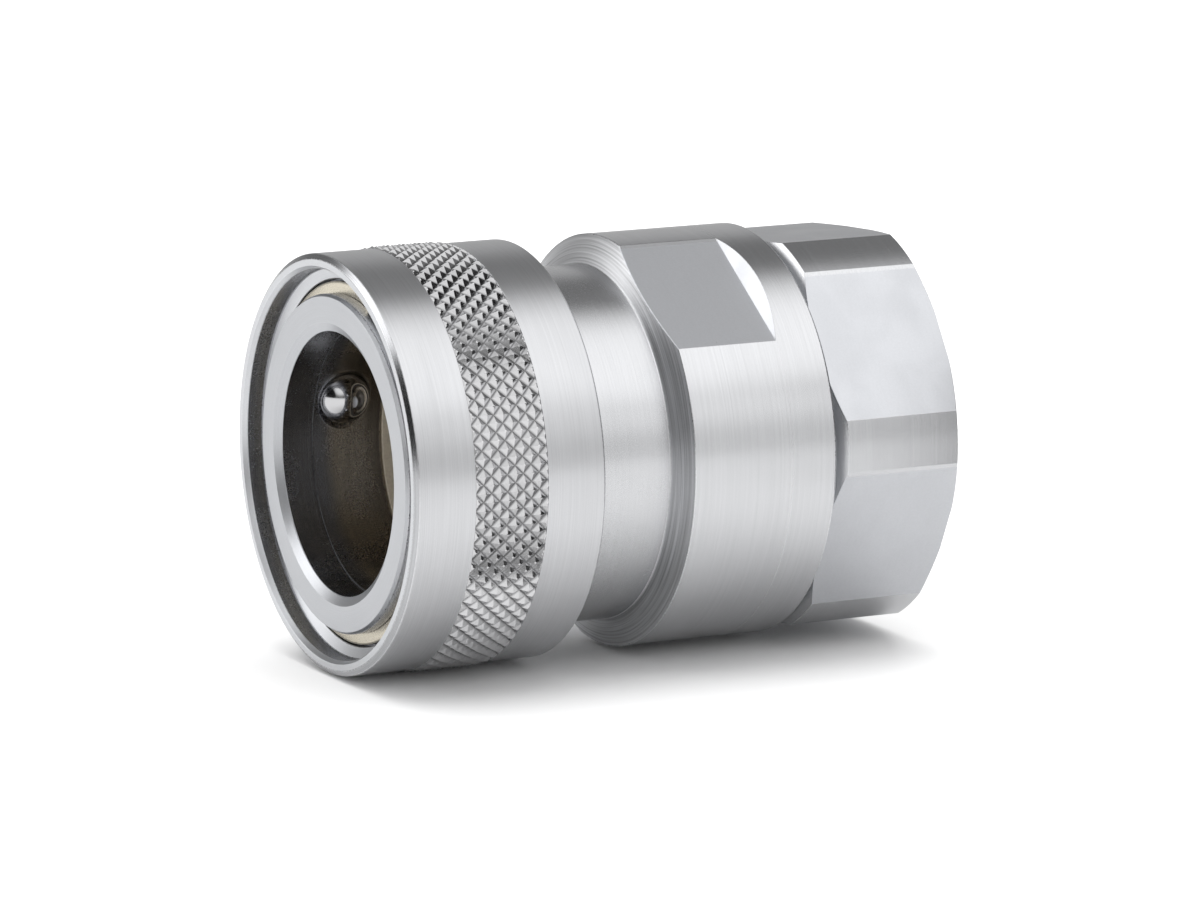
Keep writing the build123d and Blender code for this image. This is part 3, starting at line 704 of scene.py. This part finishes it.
def makeBody(s, h):
    # The outline changes with the angle: inside a wrench flat the collar's radius is flat / cos(offset),
    # the cone stops where it meets that, and the end wall leans back from the flat to the collar.
    half = np.degrees(np.arccos(s["flat"] / s["collar"]))
    edges = [s["flatAngle"] + turn + side * half for turn in (0, 180) for side in (-1, 1)]
    angles = ringAngles(edges, s["column"], h["phase"])
    offset = np.abs((angles - s["flatAngle"] + 90) % 180 - 90)
    radial = np.minimum(s["flat"] / np.cos(np.radians(offset)), s["collar"])
    cut = np.where(offset < half, radial, s["collar"])
    coneX = s["neckEnd"] + s["cone"] * (cut - s["neck"]) / (s["collar"] - s["neck"])
    lean = np.tan(np.radians(s["wallLean"]))
    rise = (s["collar"] * np.cos(np.radians(offset)) - s["flat"]) * lean
    rows = bodyRows(s, cut, coneX, s["flatEnd"] + np.maximum(rise, s["wallLeast"]))
    grid, share, labels, slots = roundedRows(rows, len(angles))
    # rows of the windows round the ball holes: on the nose they run with x, in the bore against it
    ballX = next(iter(ballMiddles.values()))[0]
    reach = np.linspace(ballX - h["windowLen"], ballX + h["windowLen"], h["rows"] + 1)
    perCorner = grid.shape[1] // len(rows)
    boreFrom = (cornerAt(rows, s["grooveFront"] - s["bevel"], s["bore"]) + 1) * perCorner
    noseFrom = (cornerAt(rows, s["ringRear"], s["nose"]) + 1) * perCorner
    windows = ((boreFrom, reach[::-1], s["bore"], "boreTurned"), (noseFrom, reach, s["nose"], "neckTurned"))
    for at, xs, r, label in windows:
        row = np.broadcast_to(np.stack([xs, 0 * xs + r], axis=-1), (len(angles), len(xs), 2))
        grid = np.concatenate([grid[:, :at], row, grid[:, at:]], axis=1)
        share = np.concatenate([share[:at], 0 * xs, share[at:]])
        slots = np.concatenate([slots[:at], np.full(len(xs), labels.index(label)), slots[at:]])
    noseRows = np.arange(noseFrom, noseFrom + len(reach))
    boreRows = np.arange(boreFrom, boreFrom + len(reach)) + len(reach)
    points, faces = sweepRound(grid, angles)
    faceFinish = np.tile(slots, (len(angles), 1))
    turnBetweenFlats(faceFinish, labels, offset >= half - s["margin"])
    keep, extra, more, onNose = ballWindows(s, h, angles, grid, boreRows, noseRows)
    holeFinish = np.where(onNose, labels.index("neckTurned"), labels.index("boreTurned"))
    faceFinish = np.concatenate([faceFinish[keep], holeFinish])
    points = np.concatenate([points, extra])
    share = np.concatenate([np.tile(share, len(angles)), np.zeros(len(extra))])
    points, faces, share = dropLoosePoints(points, np.concatenate([faces[keep], more]), share)
    piece = makePiece("body_shell", points, faces, labels, faceFinish, share)
    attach(piece, "socket")
    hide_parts("body")


makeBody(bodySize, holeSize)
print("body made")

# Adapter

adapterSize = {"front": 49.0, "end": 77.35, "hexFront": 58.85, "flat": 25.0, "corner": 27.12, "angle": -3.34,
               "bevelFront": 1.3, "bevelRear": 1.1, "slope": 60.0, "boss": 22.6, "spigot": 19.45,
               "sealBayFront": 56.05, "sealSeat": 19.35, "collarEnd": 58.65, "flow": 15.0, "portEnd": 59.35,
               "bevel": 0.3, "least": 0.02, "inside": 0.01, "column": 1.0, "margin": 0.2}
threadSize = {"root": 16.62, "crest": 15.15, "pitch": 2.309, "flare": 0.9, "perPitch": 14, "steep": 1.35,
              "flat": 0.17, "runOut": 0.6, "fade": 1.2}


def threadRows(s, t, angles):
    # A helix of ridges from the port's mouth inwards: r = root - (root - crest) x a flattened tent over
    # x / pitch - turn, which fades out before the port's end; then the end wall down to the flow's bore.
    x = np.arange(s["end"] - t["flare"], s["portEnd"], -t["pitch"] / t["perPitch"])
    phase = x[None, :] / t["pitch"] - angles[:, None] / 360
    tent = 1 - 2 * np.abs(phase - np.floor(phase) - 0.5)
    ridge = np.clip(tent * t["steep"] - t["flat"], 0, 1)
    fade = np.clip((x - s["portEnd"] - t["runOut"]) / t["fade"], 0, 1)[None, :]
    thread = np.stack([x[None, :] + 0 * ridge, t["root"] - (t["root"] - t["crest"]) * ridge * fade], axis=-1)
    one = np.ones_like(angles)
    tail = np.stack([np.stack([one * s["portEnd"], one * r], -1) for r in (t["root"], s["flow"])], axis=1)
    return np.concatenate([thread, tail], axis=1)


def makeAdapter(s, t):
    # Hexagon radius = flat / cos(offset from the nearest flat), cut off at the turned corner radius; each
    # bevel is a cone that meets it where corner - (bevel - depth) tan(slope) gives the same radius.
    half = np.degrees(np.arccos(s["flat"] / s["corner"]))
    edges = [s["angle"] + 60 * k + side * half for k in range(6) for side in (-1, 1)]
    angles = ringAngles(edges, s["column"])
    offset = np.abs((angles - s["angle"] + 30) % 60 - 30)
    hexR = np.minimum(s["flat"] / np.cos(np.radians(offset)), s["corner"])
    steep = np.tan(np.radians(s["slope"]))
    frontIn, rearIn = [s["corner"] - s[bevel] * steep for bevel in ("bevelFront", "bevelRear")]
    frontX = s["hexFront"] + s["bevelFront"] - (s["corner"] - hexR) / steep
    rearX = s["end"] - np.maximum(s["bevelRear"] - (s["corner"] - hexR) / steep, s["least"])
    rearR = np.minimum(rearIn, hexR - s["inside"])
    # w carries painted shade inside the port and its thread.
    f, w, g, c = "flatMilled", "boreTurned", "faceGround", "collarTurned"
    rows = [
        (s["front"], s["flow"], 0.1, g), (s["front"], s["spigot"] - s["bevel"], 0.1, c),
        (s["front"] + s["bevel"], s["spigot"], 0.1, c), (s["sealBayFront"], s["spigot"], 0.05, c),
        (s["sealBayFront"], s["sealSeat"], 0.05, c), (s["collarEnd"], s["sealSeat"], 0.05, g),
        (s["collarEnd"], s["boss"], 0.05, c), (s["hexFront"], s["boss"], 0.04, g),
        (s["hexFront"], frontIn, 0.08, c), (frontX, hexR, 0.06, f), (rearX, hexR, 0.06, c),
        (s["end"], rearR, 0.08, g), (s["end"], t["root"] + t["flare"], 0.06, w),
    ]
    rounded, share, labels, slots = roundedRows(rows, len(angles))
    thread = threadRows(s, t, angles)
    points, faces = sweepRound(np.concatenate([rounded, thread], axis=1), angles)
    share = np.concatenate([share, np.zeros(thread.shape[1])])
    slots = np.concatenate([slots, np.full(thread.shape[1], labels.index(w))])
    faceFinish = np.tile(slots, (len(angles), 1))
    turnBetweenFlats(faceFinish, labels, offset >= half - s["margin"])
    share = np.tile(share, len(angles))
    piece = makePiece("adapter_shell", points, faces.reshape(-1, 4), labels, faceFinish, share)
    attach(piece, "socket")
    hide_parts("adapter")


makeAdapter(adapterSize, threadSize)
print("adapter made")

# Stop ring: ends gives how large its section is on the way to each end
ringSize = {"front": 2.05, "width": 1.4, "inner": 20.95, "outer": 23.3, "edge": 0.3, "steps": 6,
            "gapStart": 17.7, "gap": 35.0, "columns": 240, "ends": [0, 0.9, 0.94, 1], "tipTurn": 0.02,
            "endTurn": 0.12}


def makeStopRing(s):
    # A rounded rectangle carried round from one end of the gap to the other, with shrinking rows at both
    # ends that close on a point.
    x0, x1 = s["front"], s["front"] + s["width"]
    box = np.array([(x0, s["inner"]), (x0, s["outer"]), (x1, s["outer"]), (x1, s["inner"])], float)
    rounded, share = roundCorners(box, [s["edge"]] * 4, s["steps"])
    start, arc = s["gapStart"] + s["gap"], 360 - s["gap"]
    even = np.linspace(0, arc, s["columns"])[1:-1]
    near = np.array([0, 0, s["tipTurn"], s["endTurn"]])
    angles = start + np.concatenate([near, even, arc - near[::-1]])
    shrink = np.concatenate([s["ends"], np.ones(len(even)), s["ends"][::-1]])
    middle = np.array([(x0 + x1) / 2, (s["inner"] + s["outer"]) / 2])
    outline = middle + (rounded - middle) * shrink[:, None, None]
    points = toSpace(outline[..., 0], outline[..., 1], angles[:, None])
    faces = tubeFaces(len(angles), len(rounded))
    piece = makePiece("stop_ring_wire", points.reshape(-1, 3), faces, ["ringSprung"],
                      share=np.tile(share, len(angles)), poles=True)
    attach(piece, "socket")
    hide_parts("stop_ring")


makeStopRing(ringSize)

ballGrid = {"tall": 49, "around": 96}


def makeBalls(middles, grid):
    # A sphere on a grid of two angles: middle + r (sin a cos b, sin a sin b, cos a), with its poles closed.
    a = np.linspace(0, np.pi, grid["tall"])[None, :]
    b = np.linspace(0, 2 * np.pi, grid["around"], endpoint=False)[:, None]
    unit = np.stack([np.sin(a) * np.cos(b), np.sin(a) * np.sin(b), np.cos(a) + 0 * b], axis=-1)
    rows, columns = grid["tall"], grid["around"]
    i, j = np.arange(columns)[:, None], np.arange(rows - 1)[None, :]
    i2 = (i + 1) % columns
    faces = np.stack([i * rows + j, i * rows + j + 1, i2 * rows + j + 1, i2 * rows + j], -1).reshape(-1, 4)
    for node, middle in middles.items():
        ball = node.replace("lock_", "")
        piece = makePiece(ball + "_polished", (middle + ballR * unit).reshape(-1, 3), faces, ["ballPolished"],
                          poles=True)
        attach(piece, ball)
        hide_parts(node)


makeBalls(ballMiddles, ballGrid)
print("ring and balls made")

# Seals, springs and valve

roundSeals = {"bore_seal": "socket", "valve_seal": "valve", "adapter_seal": "socket"}
sealGrid = {"around": 40, "column": 2.0}


def makeSeals(seals, grid):
    # A circle turned round the axis: its width is the box's length, and it touches the box's outside.
    t = np.linspace(0, 2 * np.pi, grid["around"], endpoint=False)
    for name, body in seals.items():
        low, high = nodeBox(name)
        section = high[0] - low[0]
        x, r = (low[0] + high[0]) / 2, high[2] - section / 2
        outline = np.stack([x + section / 2 * np.cos(t), r - section / 2 * np.sin(t)], axis=-1)
        points, faces = sweepRound(outline, ringAngles(step=grid["column"]))
        piece = makePiece(name + "_round", points, faces.reshape(-1, 4), ["sealRubber"])
        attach(piece, body)
        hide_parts(name)


makeSeals(roundSeals, sealGrid)

# Plain rings: the piece, its bore, its corner radius, its finish and its body; the rest comes from the frame
plainRings = {
    "seal_backup": ("seal_backup_ring", 17.05, 0.12, "backupPlastic", "socket"),
    "thrust_washer": ("thrust_washer_ring", 21.9, 0.08, "ringSprung", "washer"),
    "spring_seat": ("spring_seat_ring", 5.4, 0.08, "ringSprung", "socket"),
    "guide_bush": ("guide_bush_turned", 3.15, 0.08, "bushBronze", "socket"),
}
plainColumn = 2.0


def makePlainRings(rings):
    # A rectangle from the ring's bore to its box's outside, turned round the axis.
    for node, (name, inner, edge, label, body) in rings.items():
        low, high = nodeBox(node)
        corners = [(low[0], inner), (low[0], high[2]), (high[0], high[2]), (high[0], inner)]
        turnedPiece(name, [(x, r, edge, label) for x, r in corners], body, [node], plainColumn)


makePlainRings(plainRings)

springs = {
    "sleeve_spring": {"meanR": 22.485, "wire": 0.9, "turns": 3, "joint": "sleeve_slide", "travel": 10.2},
    "valve_spring": {"meanR": 6.7, "wire": 1.2, "turns": 5, "joint": "valve_slide", "travel": 6.0},
}
springGrid = {"perTurn": 96, "around": 14, "deadTurns": 0.5, "deadRise": 0.08}


def makeSpring(name, s, grid):
    # Wire centre: x rises from one half wire inside each end, slowly over the first and last half turn,
    # while the angle runs evenly; the wire's circle stands square to it. End rows close on a point.
    low, high = nodeBox(name)
    start, length = low[0], high[0] - low[0]
    steps = int(s["turns"] * grid["perTurn"])
    t = np.linspace(0, 1, steps)
    dead, rise = grid["deadTurns"], grid["deadRise"]
    climb = np.interp(t * s["turns"], [0, dead, s["turns"] - dead, s["turns"]], [0, rise, 1 - rise, 1.0])
    x = start + s["wire"] / 2 + (length - s["wire"]) * climb
    turn = 2 * np.pi * s["turns"] * t
    outwards = np.stack([0 * t, -np.sin(turn), np.cos(turn)], axis=-1)
    centre = np.stack([x, 0 * t, 0 * t], axis=-1) + outwards * s["meanR"]
    along = np.gradient(centre, axis=0)
    along /= np.linalg.norm(along, axis=1, keepdims=True)
    side = np.cross(along, outwards)
    ring = np.linspace(0, 2 * np.pi, grid["around"], endpoint=False)[None, :, None]
    circle = (outwards[:, None] * np.cos(ring) + side[:, None] * np.sin(ring)) * s["wire"] / 2
    size = np.ones(steps + 2)
    size[[0, -1]] = 0
    rows = np.concatenate([[0], np.arange(steps), [steps - 1]])
    points = centre[rows][:, None] + circle[rows] * size[:, None, None]
    faces = tubeFaces(len(rows), grid["around"], inwards=True)
    piece = makePiece(name + "_wire", points.reshape(-1, 3), faces, ["wireDrawn"], poles=True)
    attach(piece, "socket")
    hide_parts(name)
    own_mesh(piece)


for springName, springSize in springs.items():
    makeSpring(springName, springSize, springGrid)

# Valve: the corners of each section as (x, r, corner radius), and the step between its columns
valveSections = {
    "valve_cap": {"solid": True, "column": 1.5, "corners": [
        (16.5, 0, 0), (16.5, 6.5, 0.2), (17.0, 7.0, 0.2), (22.0, 7.0, 1.5), (24.8, 12.1, 0.2),
        (25.3, 12.6, 0.2), (27.75, 12.6, 0.2), (27.75, 2.52, 0.05), (21.18, 2.52, 0.05), (21.18, 0, 0)]},
    "valve_head": {"solid": False, "column": 1.5, "corners": [
        (27.75, 2.52, 0.05), (27.75, 12.104, 0.05), (30.05, 12.104, 0.05), (30.05, 14.5, 0.2),
        (30.55, 15.0, 0.2), (32.0, 15.0, 0.2), (33.0, 14.0, 0.2), (33.0, 5.4, 0.1), (34.5, 5.4, 0.2),
        (34.5, 2.52, 0.05)]},
    "valve_stem": {"solid": True, "column": 4.0, "corners": [
        (21.2, 0, 0), (21.2, 2.5, 0.05), (34.5, 2.5, 0.05), (34.5, 3.1, 0.1), (51.5, 3.1, 0.2),
        (52.0, 2.6, 0.2), (52.0, 0, 0)]},
}


def makeValve(sections):
    # Each section turned round the axis, ground all over.
    for node, s in sections.items():
        rows = [(x, r, edge, "faceGround") for x, r, edge in s["corners"]]
        turnedPiece(node + "_turned", rows, "valve", [node], s["column"], s["solid"])


makeValve(valveSections)

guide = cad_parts["valve_guide"]
guide.data.materials.clear()
guide.data.materials.append(finish["flatMilled"])
print("inner pieces made")

# Floor and light: mirrored is the floor's tone in reflections

floorSize = {"half": 14.0 / mm, "z": cadBox[0][2] / mm, "tone": 0.91, "mirrored": 0.70, "grain": 4.0,
             "uneven": 0.01, "rough": 0.8, "gloss": 0.1}
flagSize = {"x": 112.0, "sides": (-85.0, -29.0), "top": 50.0, "grain": 1.0, "tone": 0.02, "rough": 0.9}
stageDetail = 2.0


def stageSheet(name, corners, material):
    # A flat sheet between four corners (mm), which isn't part of the object.
    mesh = bpy.data.meshes.new(name)
    mesh.from_pydata((np.array(corners) * mm).tolist(), [], [(0, 1, 2, 3)])
    mesh.materials.append(material)
    made = bpy.data.objects.new(name, mesh)
    scene.collection.objects.link(made)
    return made


def makeFloor(s):
    # Tone = tone to the eye and to soft light, mirrored in reflections, + a little grain.
    made, tree, shader = newMaterial("floorPale")
    grain = useGroup(tree, grainGroup, Size=s["grain"], Detail=stageDetail)["Grain"]
    reflected = place(tree, "ShaderNodeLightPath").outputs["Is Glossy Ray"]
    tone = calc(tree, "MULTIPLY_ADD", reflected, s["mirrored"] - s["tone"], s["tone"])
    setColour(tree, shader, (1.0, 1.0, 1.0), calc(tree, "MULTIPLY_ADD", grain, s["uneven"], tone))
    shader.inputs["Roughness"].default_value = s["rough"]
    shader.inputs["Specular IOR Level"].default_value = s["gloss"]
    far, z = s["half"], s["z"]
    floor = stageSheet("floor", [(-far, -far, z), (far, -far, z), (far, far, z), (-far, far, z)], made)


def makeFlag(s, floorZ):
    # A black card that stands to the right and is seen by reflections alone. Tone = a little grain.
    made, tree, shader = newMaterial("flagBlack")
    grain = useGroup(tree, grainGroup, Size=s["grain"], Detail=stageDetail)["Grain"]
    setColour(tree, shader, (1.0, 1.0, 1.0), calc(tree, "MULTIPLY", grain, s["tone"]))
    shader.inputs["Roughness"].default_value = s["rough"]
    x, top = s["x"], s["top"]
    low, high = s["sides"]
    flag = stageSheet("flag", [(x, low, floorZ), (x, high, floorZ), (x, high, top), (x, low, top)], made)
    flag.visible_camera = False
    flag.visible_diffuse = False
    flag.visible_shadow = False


makeFloor(floorSize)
makeFlag(flagSize, floorSize["z"])

# Patches of the studio seen in the steel: the way to the middle, the angles of the core and the rim, and how
# much brighter (or, below zero, darker) it is than the base. Soft light on the floor is even (onFloor), and
# the wall behind everything is pale to the eye (wall).
room = {"base": 0.20, "least": 0.01, "onFloor": 0.95, "wall": 0.92, "patches": [
    ((0.45, -0.45, 0.77), 10, 47, 1.24), ((0.45, -0.89, 0.05), 8, 27, 0.72),
    ((-0.72, 0.48, 0.50), 14, 24, 1.4), ((-0.79, 0.57, 0.20), 12, 32, 0.85),
    ((-0.25, 0.10, 0.96), 14, 32, 0.85), ((-0.40, -0.68, 0.61), 12, 34, 0.85),
    ((0.45, 0.88, 0.10), 15, 35, 0.30), ((-0.96, -0.16, 0.12), 20, 30, -0.80),
    ((0.99, 0.12, 0.0), 12, 28, 0.40), ((0.93, -0.03, 0.36), 9, 17, -0.80),
]}


def makeRoom(choice):
    # Strength = base + the sum over patches of adds x a soft step of the dot of the direction and the way,
    # and never below the least.
    world = bpy.data.worlds.new("studio")
    scene.world = world
    world.use_nodes = True
    tree = world.node_tree
    direction = place(tree, "ShaderNodeTexCoord").outputs["Generated"]
    total = choice["base"]
    for way, core, rim, adds in choice["patches"]:
        inputs = {0: direction, 1: Vector(way).normalized()}
        dot = place(tree, "ShaderNodeVectorMath", inputs, operation="DOT_PRODUCT").outputs["Value"]
        start, end = [float(np.cos(np.radians(angle))) for angle in (rim, core)]
        total = calc(tree, "MULTIPLY_ADD", softStep(tree, dot, start, end), adds, total)
    total = calc(tree, "MAXIMUM", total, choice["least"])
    ray = place(tree, "ShaderNodeLightPath").outputs
    for seen, strength in (("Is Diffuse Ray", choice["onFloor"]), ("Is Camera Ray", choice["wall"])):
        inputs = {"Factor": ray[seen], "A": total, "B": strength}
        total = place(tree, "ShaderNodeMix", inputs).outputs["Result"]
    back = tree.nodes["Background"]
    back.inputs["Color"].default_value = (1.0, 1.0, 1.0, 1.0)
    tree.links.new(total, back.inputs["Strength"])


makeRoom(room)

overhead = {"at": (0.1, 0.25, 1.6), "size": 2.0, "power": 28.0}


def makeOverhead(choice):
    # A square lamp (metres, watts) that faces the origin: its -z runs from its place to there.
    data = bpy.data.lights.new("overhead", "AREA")
    data.shape = "SQUARE"
    data.size = choice["size"]
    data.energy = choice["power"]
    made = bpy.data.objects.new("overhead", data)
    made.location = choice["at"]
    made.rotation_euler = (-Vector(choice["at"])).to_track_quat("-Z", "Y").to_euler()
    made.visible_glossy = False
    scene.collection.objects.link(made)


makeOverhead(overhead)
scene.view_settings.view_transform = "Standard"
scene.view_settings.look = "None"
print("stage and light made")
